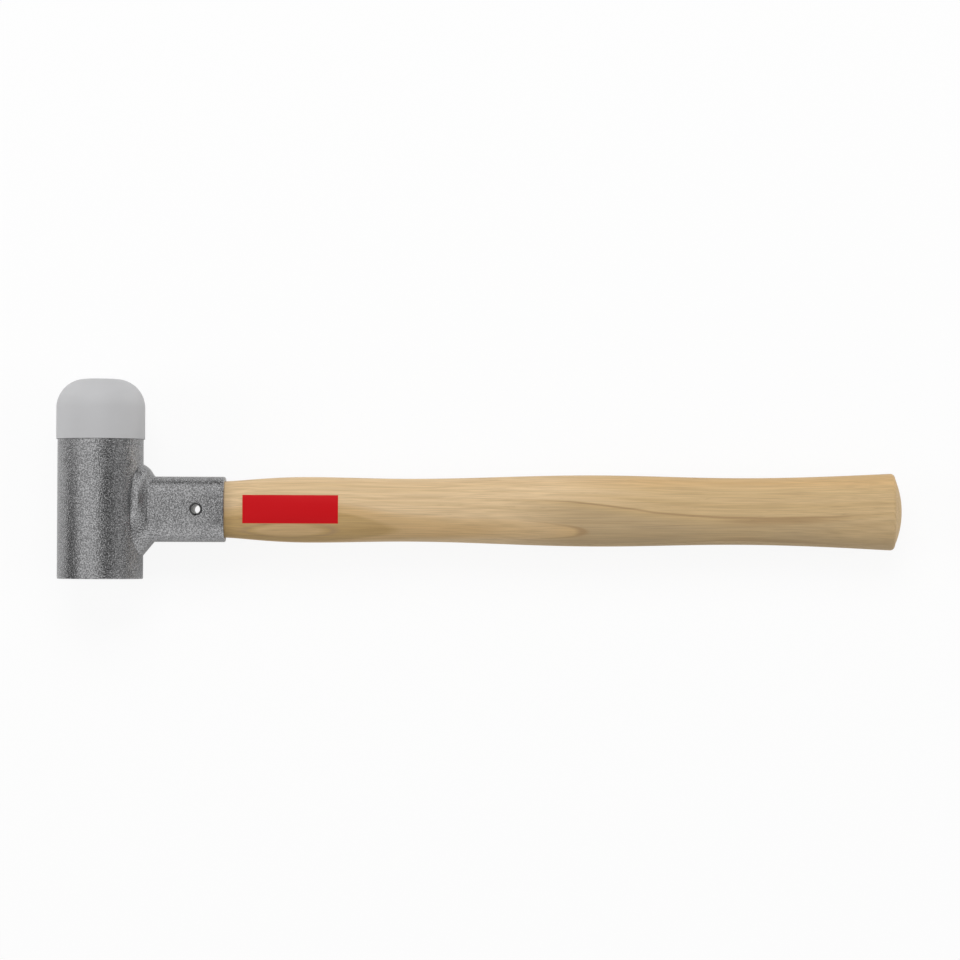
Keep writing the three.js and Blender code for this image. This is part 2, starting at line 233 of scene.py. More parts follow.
# Grain of the wood: lumps in a metre along the handle, across it and through it
SWAY_GRAIN = (22, 60, 60)
BROAD_GRAIN = (6, 240, 240)
STREAK_GRAIN = (22, 1100, 1100)
PORE_GRAIN = (130, 2400, 2400)
FIBRE_GRAIN = (38, 2300, 2300)
BANDS_PER_RING_MM = 0.9

# What the grain is made into: the noise's low and high, and the values there
BAND_PALENESS = (0.32, 0.68, -0.2, 0.2)
BROAD_TINT = (0.4, 0.7, 0, 0.3)
STREAK_TINT = (0.48, 0.75, 0, 0.3)
PORE_TINT = (0.68, 0.76, 0, 0.25)
FIBRE_SHADES = (0.3, 0.7, 0.88, 1.12)
STREAK_ROUGHNESS = (0.3, 0.7, 0.46, 0.58)
WOOD_BUMP = (0.12, 0.1 * MM)
WOOD_SPECULAR = 0.22

# Printed field on the handle's front
FIELD_REACH = {"X": (63.4 * MM, 105.6 * MM), "Y": (24.75 * MM, 37.3 * MM)}
FIELD_EDGE = 0.06 * MM
FIELD_RED = (0.555, 0.002, 0.006, 1)
FIELD_ROUGHNESS_CHANGE = -0.1

for left_over in list(bpy.data.objects):
    bpy.data.objects.remove(left_over)
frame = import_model()

TUBE_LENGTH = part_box("head_tube")[1].y
INSERT_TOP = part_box("nylon_insert")[1].y
HANDLE_HEIGHT = sum(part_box("handle_socket"), Vector()).y / 2
SOCKET_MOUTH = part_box("handle_socket")[1].x
HANDLE_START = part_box("handle")[0].x
HANDLE_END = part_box("handle")[1].x
PIN_PLACE = sum(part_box("spring_pin"), Vector()).x / 2
PIN_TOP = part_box("spring_pin")[1].z


# Modelling by hand


def clear_selection():
    if bpy.context.object and bpy.context.object.mode != "OBJECT":
        bpy.ops.object.mode_set(mode="OBJECT")
    bpy.ops.object.select_all(action="DESELECT")


def pick(piece):
    """Makes a piece the only one that operators act on."""
    clear_selection()
    piece.select_set(True)
    bpy.context.view_layer.objects.active = piece


def name_piece(name):
    piece = bpy.context.object
    piece.name = name
    piece.data.name = name
    bpy.ops.object.transform_apply(location=True, rotation=True, scale=True)
    return piece


def close_up(is_ring):
    """Shuts the ends of the raised rings, or joins the last to the first, and turns the faces out."""
    bpy.ops.mesh.select_all(action="SELECT")
    if is_ring:
        bpy.ops.mesh.remove_doubles(threshold=MERGE_DISTANCE)
    else:
        bpy.ops.mesh.fill_holes(sides=0)
    bpy.ops.mesh.normals_make_consistent(inside=False)
    bpy.ops.object.mode_set(mode="OBJECT")
    bpy.ops.object.shade_smooth_by_angle(angle=SMOOTH_ANGLE)


def turn_up(name, profile, is_ring=False, sides=TURNED_SIDES):
    """A turned piece on the head's axis, raised ring by ring from (radius, height) pairs."""
    clear_selection()
    radius, height = profile[0]
    bpy.ops.mesh.primitive_circle_add(
        vertices=sides, radius=radius, location=(0, height, 0), rotation=(math.pi / 2, 0, 0)
    )
    piece = name_piece(name)
    bpy.ops.object.mode_set(mode="EDIT")
    bpy.ops.mesh.select_all(action="SELECT")
    for next_radius, next_height in profile[1:]:
        bpy.ops.mesh.extrude_region_move(
            TRANSFORM_OT_translate={"value": (0, next_height - height, 0)}
        )
        share = next_radius / radius
        bpy.ops.transform.resize(value=(share, 1, share), center_override=(0, next_height, 0))
        radius, height = next_radius, next_height
    close_up(is_ring)
    return piece


def quarter_round(start, end, corner, steps=ARC_STEPS):
    """(radius, height) pairs on a quarter round that is tangent to both sides of the corner."""
    points = []
    for step in range(steps + 1):
        angle = step / steps * math.pi / 2
        to_start, to_end = 1 - math.sin(angle), 1 - math.cos(angle)
        points.append(tuple(
            c + (s - c) * to_start + (e - c) * to_end for s, e, c in zip(start, end, corner)
        ))
    return points


def raise_loops(name, loops, is_ring=False):
    """A piece on the handle's axis, raised from one loop of points to the next."""
    clear_selection()
    bpy.ops.mesh.primitive_circle_add(
        vertices=len(loops[0]), radius=SOCKET_WIDTH / 2,
        location=(0, HANDLE_HEIGHT, 0), rotation=(0, math.pi / 2, 0),
    )
    piece = name_piece(name)
    bpy.ops.object.mode_set(mode="EDIT")
    bpy.ops.mesh.select_all(action="SELECT")
    set_loop(piece, loops[0])
    for loop in loops[1:] + (loops[:1] if is_ring else []):
        bpy.ops.mesh.extrude_region_move()
        set_loop(piece, loop)
    close_up(is_ring)
    return piece


def set_loop(piece, loop):
    """Moves the selected loop's vertices, in their order round the handle's axis, to the points."""
    mesh = bmesh.from_edit_mesh(piece.data)
    picked = [vertex for vertex in mesh.verts if vertex.select]
    picked.sort(key=lambda vertex: math.atan2(vertex.co.z, vertex.co.y - HANDLE_HEIGHT))
    for vertex, point in zip(picked, loop):
        vertex.co = point
    bmesh.update_edit_mesh(piece.data)


def oval_turns():
    return [-math.pi + (step + 0.5) / OVAL_SIDES * 2 * math.pi for step in range(OVAL_SIDES)]


def oval_point(width, thickness, squareness, turn):
    """A point of a squared oval round the handle's axis, as offsets along Y and Z."""
    def along(value):
        return math.copysign(abs(value) ** (2 / squareness), value)
    return width / 2 * along(math.cos(turn)), thickness / 2 * along(math.sin(turn))


def oval_normal(width, thickness, squareness, y, z):
    def slope(value, half):
        return math.copysign(abs(value / half) ** (squareness - 1) / half, value)
    return Vector((0, slope(y, width / 2), slope(z, thickness / 2))).normalized()


def oval_loop(x, width, thickness, squareness):
    points = (oval_point(width, thickness, squareness, turn) for turn in oval_turns())
    return [Vector((x, HANDLE_HEIGHT + y, z)) for y, z in points]


def coped_loop(radius, width, thickness, squareness):
    """An oval loop that follows the saddle on a round bar of that radius."""
    loop = oval_loop(0, width, thickness, squareness)
    for point in loop:
        point.x = math.sqrt(radius ** 2 - point.z ** 2)
    return loop


def apply_modifier(piece, kind, **settings):
    pick(piece)
    modifier = piece.modifiers.new(kind.lower(), kind)
    for setting, value in settings.items():
        setattr(modifier, setting, value)
    bpy.ops.object.modifier_apply(modifier=modifier.name)


def drill_pin_hole(*pieces):
    """Cuts the pin's hole through each of the pieces."""
    clear_selection()
    bpy.ops.mesh.primitive_cylinder_add(
        vertices=PIN_SIDES, radius=PIN_RADIUS + PIN_GAP, depth=2 * SOCKET_THICKNESS,
        location=(PIN_PLACE, HANDLE_HEIGHT, 0),
    )
    drill = name_piece("drill")
    for piece in pieces:
        apply_modifier(piece, "BOOLEAN", operation="DIFFERENCE", solver="EXACT", object=drill)
        bpy.ops.object.shade_smooth_by_angle(angle=SMOOTH_ANGLE)
    bpy.data.objects.remove(drill)


def mix(first, second, share):
    return first + (second - first) * share


def wave(share):
    return (1 - math.cos(share * math.pi)) / 2


# Head


def make_head_tube():
    rim, top = TUBE_RIM_ROUNDING, TUBE_LENGTH
    disc_floor = top - SHANK_LENGTH - DISC_THICKNESS
    profile = [(SEAT_RADIUS, 0)]
    profile += quarter_round((TUBE_RADIUS - rim, 0), (TUBE_RADIUS, rim), (TUBE_RADIUS, 0))
    rim = TUBE_TOP_ROUNDING
    profile += quarter_round((TUBE_RADIUS, top - rim), (TUBE_RADIUS - rim, top), (TUBE_RADIUS, top))
    profile += [
        (SEAT_RADIUS, top), (SEAT_RADIUS, disc_floor), (CHAMBER_RADIUS, disc_floor),
        (CHAMBER_RADIUS, PLUG_THICKNESS), (SEAT_RADIUS, PLUG_THICKNESS), (SEAT_RADIUS, 0),
    ]
    return turn_up("painted_tube", profile, is_ring=True)


def make_steel_face():
    radius, edge = SEAT_RADIUS - SEAT_GAP, PLUG_ROUNDING
    profile = [(CAP_SHARE * radius, PLUG_THICKNESS), (radius, PLUG_THICKNESS)]
    profile += quarter_round((radius, edge), (radius - edge, 0), (radius, 0))
    profile += [(CAP_SHARE * radius, 0)]
    return turn_up("turned_steel_face", profile)


def make_nylon_insert():
    shank, floor = SEAT_RADIUS - SEAT_GAP, TUBE_LENGTH - SHANK_LENGTH
    core = shank - SHANK_GROOVE_DEPTH
    rib_pitch = SHANK_LENGTH / (SHANK_GROOVES + 1)
    profile = [(CAP_SHARE * shank, floor), (shank, floor)]
    for groove in range(1, SHANK_GROOVES + 1):
        low = floor + groove * rib_pitch - SHANK_GROOVE_WIDTH / 2
        high = low + SHANK_GROOVE_WIDTH
        profile += [(shank, low), (core, low), (core, high), (shank, high)]
    base, edge, head = TUBE_LENGTH, INSERT_BASE_ROUNDING, INSERT_RADIUS
    profile += [(shank, base)]
    profile += quarter_round((head - edge, base), (head, base + edge), (head, base))
    flat = head - INSERT_ROUNDING
    profile += quarter_round(
        (head, INSERT_TOP - INSERT_ROUNDING), (flat, INSERT_TOP), (head, INSERT_TOP), ROUNDING_STEPS
    )
    profile += [(CAP_SHARE * flat, INSERT_TOP)]
    return turn_up("moulded_nylon_insert", profile)


def make_shot(nodes):
    """One ball is turned, and a copy of it takes each ball's place."""
    rings = SHOT_SIDES // 2
    angles = [math.pi * (ring + 0.5) / rings for ring in range(rings)]
    profile = [(SHOT_RADIUS * math.sin(angle), -SHOT_RADIUS * math.cos(angle)) for angle in angles]
    first = turn_up("steel_shot", profile, sides=SHOT_SIDES)
    balls = []
    for number, node in enumerate(nodes, 1):
        ball = bpy.data.objects.new(f"steel_shot_{number:02d}", first.data.copy())
        bpy.context.scene.collection.objects.link(ball)
        pick(ball)
        ball.location = sum(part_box(node), Vector()) / 2
        bpy.ops.object.transform_apply(location=True)
        balls.append(ball)
    bpy.data.objects.remove(first)
    return balls


# Socket, weld and pin


def make_socket():
    oval = SOCKET_WIDTH, SOCKET_THICKNESS
    foot = TUBE_RADIUS + SOCKET_FOOT_GAP
    bore = tuple(size - 2 * SOCKET_WALL for size in oval)
    wall_end = SOCKET_MOUTH - SOCKET_MOUTH_ROUNDING
    saddle = coped_loop(foot, *oval, SOCKET_SQUARENESS)
    loops = [saddle]
    for ring in range(1, SOCKET_RINGS + 1):
        share = ring / SOCKET_RINGS
        loops.append([point.lerp(Vector((wall_end, point.y, point.z)), share) for point in saddle])
    for step in range(1, ARC_STEPS + 1):
        angle = step / ARC_STEPS * math.pi / 2
        inset = 2 * SOCKET_MOUTH_ROUNDING * (1 - math.cos(angle))
        x = SOCKET_MOUTH - SOCKET_MOUTH_ROUNDING * (1 - math.sin(angle))
        loops.append(oval_loop(x, *(size - inset for size in oval), SOCKET_SQUARENESS))
    loops.append(oval_loop(SOCKET_MOUTH, *bore, SOCKET_SQUARENESS))
    loops.append(coped_loop(foot, *bore, SOCKET_SQUARENESS))
    return raise_loops("painted_socket", loops, is_ring=True)


def weld_crown(width_share):
    """How far the bead stands out: full on the flat sides, and run out on the lower edge."""
    is_low = width_share < WELD_CROWN_PLACE
    way = (width_share - WELD_CROWN_PLACE) / (WELD_RUN_OUT_REACH if is_low else WELD_CROWN_REACH)
    return WELD_CROWN * max(0, 1 - way ** 2) ** (WELD_RUN_OUT_POWER if is_low else 1)


def bead_rise(share, edge_share):
    """The bead's section from the socket to the tube: a hollow toe, a crest and a full round."""
    crest = mix(WELD_SIDE_CREST, WELD_EDGE_CREST, edge_share)
    if share < crest:
        return mix((share / crest) ** WELD_TOE_POWER, wave(share / crest), edge_share)
    return 1 - ((share - crest) / (1 - crest)) ** 2


def weld_section(turn):
    """The bead's root and the points of its face, from the socket to the tube."""
    oval = SOCKET_WIDTH, SOCKET_THICKNESS, SOCKET_SQUARENESS
    sunk = TUBE_RADIUS - WELD_TOE_SINK
    y, z = oval_point(*oval, turn)
    out = oval_normal(*oval, y, z)
    angle = math.asin(z / TUBE_RADIUS)
    edge_legs = WELD_UPPER_LEGS if out.y > 0 else WELD_LOWER_LEGS
    edge_share = out.y ** 2
    tube_leg, socket_leg = Vector(WELD_SIDE_LEGS).lerp(Vector(edge_legs), edge_share)
    toe_angle = angle + tube_leg * out.z / TUBE_RADIUS
    toe_height = HANDLE_HEIGHT + y + tube_leg * out.y
    root = Vector((sunk * math.cos(angle), HANDLE_HEIGHT + y, z)) - WELD_TOE_SINK * out
    tube_toe = Vector((sunk * math.cos(toe_angle), toe_height, sunk * math.sin(toe_angle)))
    socket_toe = root + Vector((socket_leg, 0, 0))
    crown_way = (out + Vector((math.cos(angle), 0, math.sin(angle)))).normalized()
    crown = weld_crown(y / (SOCKET_WIDTH / 2)) * mix(WELD_SIDE_CROWN_SHARE, 1, edge_share)
    section = [root]
    for step in range(WELD_FACE_STEPS + 1):
        share = step / WELD_FACE_STEPS
        height = crown * bead_rise(share, edge_share)
        section.append(socket_toe.lerp(tube_toe, share) + height * crown_way)
    return section


def make_weld():
    """The bead follows the saddle where the socket meets the tube."""
    sections = [weld_section(turn) for turn in oval_turns()]
    return raise_loops("painted_weld", [list(loop) for loop in zip(*sections)], is_ring=True)


def make_pin():
    """A strip rolled into a pin, open along one slot that faces the steel face's side."""
    clear_selection()
    bpy.ops.mesh.primitive_circle_add(
        vertices=PIN_SIDES, radius=PIN_RADIUS, location=(PIN_PLACE, HANDLE_HEIGHT, -PIN_TOP)
    )
    pin = name_piece("rolled_pin")
    bpy.ops.object.mode_set(mode="EDIT")
    mesh = bmesh.from_edit_mesh(pin.data)
    for vertex in mesh.verts:
        is_low = vertex.co.y < HANDLE_HEIGHT
        vertex.select_set(is_low and abs(vertex.co.x - PIN_PLACE) < PIN_SLOT / 2)
    mesh.select_flush(False)
    bmesh.update_edit_mesh(pin.data)
    bpy.ops.mesh.delete(type="VERT")
    bpy.ops.mesh.select_all(action="SELECT")
    bpy.ops.mesh.extrude_region_move(TRANSFORM_OT_translate={"value": (0, 0, 2 * PIN_TOP)})
    bpy.ops.mesh.select_all(action="SELECT")
    bpy.ops.mesh.normals_make_consistent(inside=False)
    bpy.ops.object.mode_set(mode="OBJECT")
    apply_modifier(pin, "SOLIDIFY", thickness=PIN_WALL, offset=-1)
    apply_modifier(
        pin, "BEVEL", width=PIN_EDGE, segments=PIN_EDGE_STEPS,
        limit_method="ANGLE", angle_limit=PIN_EDGE_ANGLE,
    )
    bpy.ops.object.shade_smooth_by_angle(angle=SMOOTH_ANGLE)
    return pin


# Handle


def rise(share):
    return wave(share ** FORE_RISE_POWER)


def flare(share):
    return 1 - math.cos(share * math.pi / 2)


def handle_section(share, butt_share):
    """Width, thickness and squareness at a share of the exposed length, eased between the stations."""
    tenon = [size - 2 * SOCKET_WALL - 2 * HANDLE_FIT_GAP for size in (SOCKET_WIDTH, SOCKET_THICKNESS)]
    stations = [((0, *tenon), SOCKET_SQUARENESS, None)]
    stations += [(FORE_SWELL, GRIP_SQUARENESS, rise)]
    stations += [(station, GRIP_SQUARENESS, wave) for station in (WAIST, PALM_SWELL, GRIP_NECK)]
    stations += [((butt_share, BUTT_WIDTH, BUTT_THICKNESS), GRIP_SQUARENESS, flare)]
    for (last, last_square, _), (here, here_square, ease) in zip(stations, stations[1:]):
        if share <= here[0] + ROUND_OFF:
            way = ease((share - last[0]) / (here[0] - last[0]))
            ends = zip((last[1], last[2], last_square), (here[1], here[2], here_square))
            return [mix(start, end, way) for start, end in ends]


def make_handle():
    length = HANDLE_END - SOCKET_MOUTH
    butt_share = 1 - (BUTT_DOME + BUTT_EDGE_RADIUS) / length
    butt_place = SOCKET_MOUTH + butt_share * length
    tenon = handle_section(0, butt_share)
    loops = [oval_loop(HANDLE_START, CAP_SHARE * tenon[0], CAP_SHARE * tenon[1], SOCKET_SQUARENESS)]
    loops += [oval_loop(HANDLE_START, *tenon), oval_loop((HANDLE_START + SOCKET_MOUTH) / 2, *tenon)]
    for ring in range(HANDLE_RINGS + 1):
        share = butt_share * ring / HANDLE_RINGS
        loops.append(oval_loop(SOCKET_MOUTH + share * length, *handle_section(share, butt_share)))
    for step in range(1, ARC_STEPS + 1):
        angle = step / ARC_STEPS * math.pi / 2
        inset = 2 * BUTT_EDGE_RADIUS * (1 - math.cos(angle))
        x = butt_place + BUTT_EDGE_RADIUS * math.sin(angle)
        loops.append(oval_loop(x, BUTT_WIDTH - inset, BUTT_THICKNESS - inset, GRIP_SQUARENESS))
    width, thickness = (size - 2 * BUTT_EDGE_RADIUS for size in (BUTT_WIDTH, BUTT_THICKNESS))
    for step in range(1, DOME_STEPS + 1):
        share = 1 - step / (DOME_STEPS + 1)
        x = butt_place + BUTT_EDGE_RADIUS + BUTT_DOME * (1 - share ** 2)
        loops.append(oval_loop(x, share * width, share * thickness, GRIP_SQUARENESS))
    return raise_loops("carved_handle", loops)


# Nodes


def set_inputs(tree, node, inputs):
    """Sets a node's inputs to values, or wires them to other nodes' outputs."""
    for socket, value in inputs.items():
        if isinstance(value, bpy.types.NodeSocket):
            tree.links.new(value, node.inputs[socket])
        else:
            node.inputs[socket].default_value = value


def add_node(tree, kind, inputs=None, **settings):
    """A node with its settings and its inputs."""
    node = tree.nodes.new(kind)
    for setting, value in settings.items():
        setattr(node, setting, value)
    set_inputs(tree, node, inputs or {})
    return node


def blank_tree(owner):
    """The empty tree of a material or a world."""
    owner.use_nodes = True
    owner.node_tree.nodes.clear()
    return owner.node_tree


def blank_material(name):
    """A material's tree with a Principled shader wired to its output."""
    material = bpy.data.materials.new(name)
    tree = blank_tree(material)
    shader = add_node(tree, "ShaderNodeBsdfPrincipled")
    add_node(tree, "ShaderNodeOutputMaterial", {"Surface": shader.outputs["BSDF"]})
    return material, tree, shader


def object_place(tree):
    return add_node(tree, "ShaderNodeTexCoord").outputs["Object"]


def split(tree, place):
    return add_node(tree, "ShaderNodeSeparateXYZ", {0: place}).outputs


def maths(tree, operation, first, second=0.0, third=0.0):
    inputs = {0: first, 1: second, 2: third}
    return add_node(tree, "ShaderNodeMath", inputs, operation=operation).outputs[0]


def distance(tree, first, second):
    """How far a point lies from an axis, from its two offsets across it."""
    squares = maths(tree, "ADD", maths(tree, "POWER", first, 2), maths(tree, "POWER", second, 2))
    return maths(tree, "SQRT", squares)


def remap(tree, value, low, high, to_low, to_high, interpolation="LINEAR"):
    """A value's range low to high stretched to to_low to to_high, and cut off there."""
    node = add_node(tree, "ShaderNodeMapRange", {
        "Value": value, "From Min": low, "From Max": high, "To Min": to_low, "To Max": to_high,
    }, interpolation_type=interpolation)
    return node.outputs["Result"]


def smooth_ramp(tree, value, low, high, to_low, to_high):
    return remap(tree, value, low, high, to_low, to_high, "SMOOTHSTEP")


def soft_step(tree, value, edge, softness):
    """0 below the edge and 1 above it, over a soft stretch."""
    return remap(tree, value, edge - softness, edge + softness, 0, 1)


def blend_colours(tree, share, first, second):
    """The first colour where the share is 0, and the second where it is 1."""
    inputs = {MIX_SHARE: share, MIX_FIRST: first, MIX_SECOND: second}
    return add_node(tree, "ShaderNodeMix", inputs, data_type="RGBA").outputs[MIX_RESULT]


def shade_colour(tree, shade, colour):
    """A colour made darker or lighter by a factor."""
    return add_node(tree, "ShaderNodeHueSaturation", {"Value": shade, "Color": colour}).outputs[0]


def stretched_noise(tree, place, scale, detail=FINE_DETAIL):
    """Noise that is drawn out along the axes with the smaller scale."""
    mapped = add_node(tree, "ShaderNodeMapping", {"Vector": place, "Scale": scale}).outputs[0]
    inputs = {"Vector": mapped, "Scale": 1.0, "Detail": detail}
    return add_node(tree, "ShaderNodeTexNoise", inputs).outputs["Fac"]


def ring_noise(tree, radius, scale, detail):
    """Noise in rings, by their distance from an axis."""
    inputs = {"W": radius, "Scale": scale, "Detail": detail}
    return add_node(tree, "ShaderNodeTexNoise", inputs, noise_dimensions="1D").outputs["Fac"]


def bump(tree, height, strength, depth):
    inputs = {"Height": height, "Strength": strength, "Distance": depth}
    return add_node(tree, "ShaderNodeBump", inputs).outputs["Normal"]


def make_grain_group():
    """Fine, even grain: a mask for tones and a height for bumps, at the scale that is asked for."""
    group = bpy.data.node_groups.new("surface_grain", "ShaderNodeTree")
    group.interface.new_socket("Vector", in_out="INPUT", socket_type="NodeSocketVector")
    for name in ("Scale", "Contrast"):
        group.interface.new_socket(name, in_out="INPUT", socket_type="NodeSocketFloat")
    for name in ("Mask", "Height"):
        group.interface.new_socket(name, in_out="OUTPUT", socket_type="NodeSocketFloat")
    inputs = add_node(group, "NodeGroupInput").outputs
    height = add_node(group, "ShaderNodeTexNoise", {
        "Vector": inputs["Vector"], "Scale": inputs["Scale"],
        "Detail": FINE_DETAIL, "Roughness": GRAIN_ROUGHNESS,
    }).outputs["Fac"]
    low = maths(group, "SUBTRACT", NOISE_MIDDLE, inputs["Contrast"])
    high = maths(group, "ADD", NOISE_MIDDLE, inputs["Contrast"])
    mask = remap(group, height, low, high, 0, 1)
    add_node(group, "NodeGroupOutput", {"Mask": mask, "Height": height})
    return group


def place_grain(tree, group, scale, contrast):
    inputs = {"Vector": object_place(tree), "Scale": scale, "Contrast": contrast}
    return add_node(tree, "ShaderNodeGroup", inputs, node_tree=group).outputs


# Paint, nylon and steel


def make_hammered_paint(grain):
    """Grey paint that dries in fine dimples, with metal flakes in it."""
    material, tree, shader = blank_material("hammered_grey_paint")
    speckle = place_grain(tree, grain, *PAINT_SPECKLE)
    cloud = place_grain(tree, grain, *PAINT_CLOUD)
    tone = blend_colours(tree, speckle["Mask"], *PAINT_TONES)
    tone = shade_colour(tree, remap(tree, cloud["Mask"], 0, 1, *PAINT_CLOUD_SHADES), tone)
    dimples = stretched_noise(tree, object_place(tree), PAINT_DIMPLES, DIMPLE_DETAIL)
    set_inputs(tree, shader, {
        "Base Color": tone,
        "Metallic": PAINT_METALLIC,
        "Roughness": remap(tree, speckle["Mask"], 0, 1, *PAINT_ROUGHNESS),
        "Normal": bump(tree, dimples, *PAINT_BUMP),
    })
    return material


def make_grey_nylon(grain):
    material, tree, shader = blank_material("grey_nylon")
    cloud = place_grain(tree, grain, *NYLON_CLOUD)
    fine = place_grain(tree, grain, *NYLON_GRAIN)
    set_inputs(tree, shader, {
        "Base Color": blend_colours(tree, cloud["Mask"], *NYLON_TONES),
        "Roughness": remap(tree, fine["Mask"], 0, 1, *NYLON_ROUGHNESS),
        "Specular IOR Level": NYLON_SPECULAR,
        "Normal": bump(tree, fine["Height"], *NYLON_BUMP),
    })
    return material


def make_turned_steel(grain):
    """Steel with the fine rings that a lathe leaves round the head's axis."""
    material, tree, shader = blank_material("turned_steel")
    parts = split(tree, object_place(tree))
    rings = ring_noise(tree, distance(tree, parts["X"], parts["Z"]), TURNED_RINGS, SOFT_DETAIL)
    cloud = place_grain(tree, grain, *TURNED_CLOUD)
    set_inputs(tree, shader, {
        "Base Color": blend_colours(tree, rings, *TURNED_TONES),
        "Metallic": 1.0,
        "Roughness": remap(tree, cloud["Mask"], 0, 1, *TURNED_ROUGHNESS),
        "Normal": bump(tree, rings, *TURNED_BUMP),
    })
    return material


def pin_bore(tree):
    """1 on the wall of the pin's bore, and 0 on its ends and its outside."""
    parts = split(tree, object_place(tree))
    along = maths(tree, "SUBTRACT", parts["X"], PIN_PLACE)
    across = maths(tree, "SUBTRACT", parts["Y"], HANDLE_HEIGHT)
    bore = PIN_RADIUS - PIN_WALL
    return remap(tree, distance(tree, along, across), bore + PIN_EDGE / 2, bore + PIN_EDGE, 1, 0)


def make_plain_steel(name, grain, tones, roughness, bore_tone=None):
    """Steel in cloudy tones, and the tone of the pin's bore if it is the pin's: the pin's dark tones on
    its ends are painted shade of the hole it sits in.
    """
    material, tree, shader = blank_material(name)
    cloud = place_grain(tree, grain, *STEEL_CLOUD)
    tone = blend_colours(tree, cloud["Mask"], *tones)
    if bore_tone:
        tone = blend_colours(tree, pin_bore(tree), tone, bore_tone)
    set_inputs(tree, shader, {
        "Base Color": tone,
        "Metallic": 1.0,
        "Roughness": remap(tree, cloud["Mask"], 0, 1, *roughness),
        "Normal": bump(tree, cloud["Height"], *STEEL_BUMP),
    })
    return material


# Wood


def ring_depth(tree, place):
    """How many millimetres a point lies past the growth ring through the handle's axis."""
    parts = split(tree, place)
    pith_height = HANDLE_HEIGHT + PITH_DISTANCE * math.sin(PITH_LEAN)
    shift = smooth_ramp(tree, parts["X"], *RING_SHIFT_REACH, 0, RING_SHIFT)
    across = maths(tree, "SUBTRACT", maths(tree, "SUBTRACT", parts["Y"], shift), pith_height)
    depth = maths(tree, "ADD", parts["Z"], PITH_DISTANCE * math.cos(PITH_LEAN))
    ring = maths(tree, "SUBTRACT", distance(tree, across, depth), PITH_DISTANCE)
    ring = maths(tree, "MULTIPLY_ADD", parts["X"], RING_TILT, ring)
    ring = maths(tree, "ADD", ring, smooth_ramp(tree, parts["X"], *RING_LIFT_REACH, RING_LIFT, 0))
    sway = stretched_noise(tree, place, SWAY_GRAIN, SOFT_DETAIL)
    warp = remap(tree, sway, 0, 1, -RING_SWAY, RING_SWAY)
    return maths(tree, "DIVIDE", maths(tree, "ADD", ring, warp), MM)


def ring_tones(tree, ring):
    """The tones of the rings that lie past the straw at the handle's front."""
    low, high = RING_TONES[0][0], RING_TONES[-1][0]
    node = add_node(tree, "ShaderNodeValToRGB", {0: remap(tree, ring, low, high, 0, 1)})
    stops = node.color_ramp.elements
    for number, (depth, colour) in enumerate(RING_TONES):
        position = (depth - low) / (high - low)
        stop = stops[number] if number < len(stops) else stops.new(position)
        stop.position = position
        stop.color = colour
    return node.outputs["Color"]


def neck_patch(tree, along, ring):
    """How brown the rings are where they run flat along the neck of the grip."""
    patch = smooth_ramp(tree, along, *NECK_START, 0, NECK_SHARE)
    for value, reach, before, after in (
        (along, NECK_END, 1, 0), (ring, NECK_FIRST_RING, 0, 1), (ring, NECK_LAST_RING, 1, 0),
    ):
        patch = maths(tree, "MULTIPLY", patch, smooth_ramp(tree, value, *reach, before, after))
    return patch


def straw_tone(tree, parts, ring):
    """Pale wood that turns darker towards the butt, in bands, and ruddy along its upper edge."""
    bands = ring_noise(tree, ring, BANDS_PER_RING_MM, FINE_DETAIL)
    paleness = remap(tree, parts["X"], *PALE_END, *PALE_SHARES)
    paleness = maths(tree, "ADD", paleness, remap(tree, bands, *BAND_PALENESS))
    tone = blend_colours(tree, paleness, MID_WOOD, PALE_WOOD)
    edge, softness = RUDDY_EDGE
    ruddy = soft_step(tree, parts["Y"], HANDLE_HEIGHT + edge, softness)
    ruddy = maths(tree, "MULTIPLY", ruddy, remap(tree, parts["X"], *PALE_END, *RUDDY_SHARES))
    return blend_colours(tree, ruddy, tone, RUDDY_WOOD)


def figured_tone(tree, parts, ring, tone):
    """The rings that show on the grip, the deep ones that show further forward, and the neck's patch."""
    start = remap(tree, parts["X"], *FIGURE_START, 0, 1)
    end = remap(tree, parts["X"], *FIGURE_END, 1, FIGURE_END_SHARE)
    figure = maths(tree, "MULTIPLY", start, end)
    figure = maths(tree, "MAXIMUM", figure, soft_step(tree, ring, *FORE_DEPTH))
    past_straw = soft_step(tree, ring, RING_TONES[0][0], RING_TONES_SOFTNESS)
    figure = maths(tree, "MULTIPLY", figure, past_straw)
    tone = blend_colours(tree, figure, tone, ring_tones(tree, ring))
    return blend_colours(tree, neck_patch(tree, parts["X"], ring), tone, BROWN_WOOD)


def streaked_tone(tree, place, streaks, tone):
    """Broad and narrow streaks, pores and fibres along the handle."""
    broad = stretched_noise(tree, place, BROAD_GRAIN, SOFT_DETAIL)
    pores = stretched_noise(tree, place, PORE_GRAIN, SOFT_DETAIL)
    fibres = stretched_noise(tree, place, FIBRE_GRAIN)
    tone = blend_colours(tree, remap(tree, broad, *BROAD_TINT), tone, MID_WOOD)
    tone = blend_colours(tree, remap(tree, streaks, *STREAK_TINT), tone, BROWN_WOOD)
    tone = blend_colours(tree, remap(tree, pores, *PORE_TINT), tone, PORE_BROWN)
    return shade_colour(tree, remap(tree, fibres, *FIBRE_SHADES), tone)


def olive_and_shade_edge(tree, parts):
    """How olive and darker the wood is along the grip's lower edge: partly the wood's own olive tone,
    partly painted shade on the underside.
    """
    edge = soft_step(tree, maths(tree, "SUBTRACT", HANDLE_HEIGHT, parts["Y"]), *OLIVE_SHADE_EDGE)
    return maths(tree, "MULTIPLY", edge, remap(tree, parts["X"], *PALE_END, *OLIVE_SHADE_SHARES))


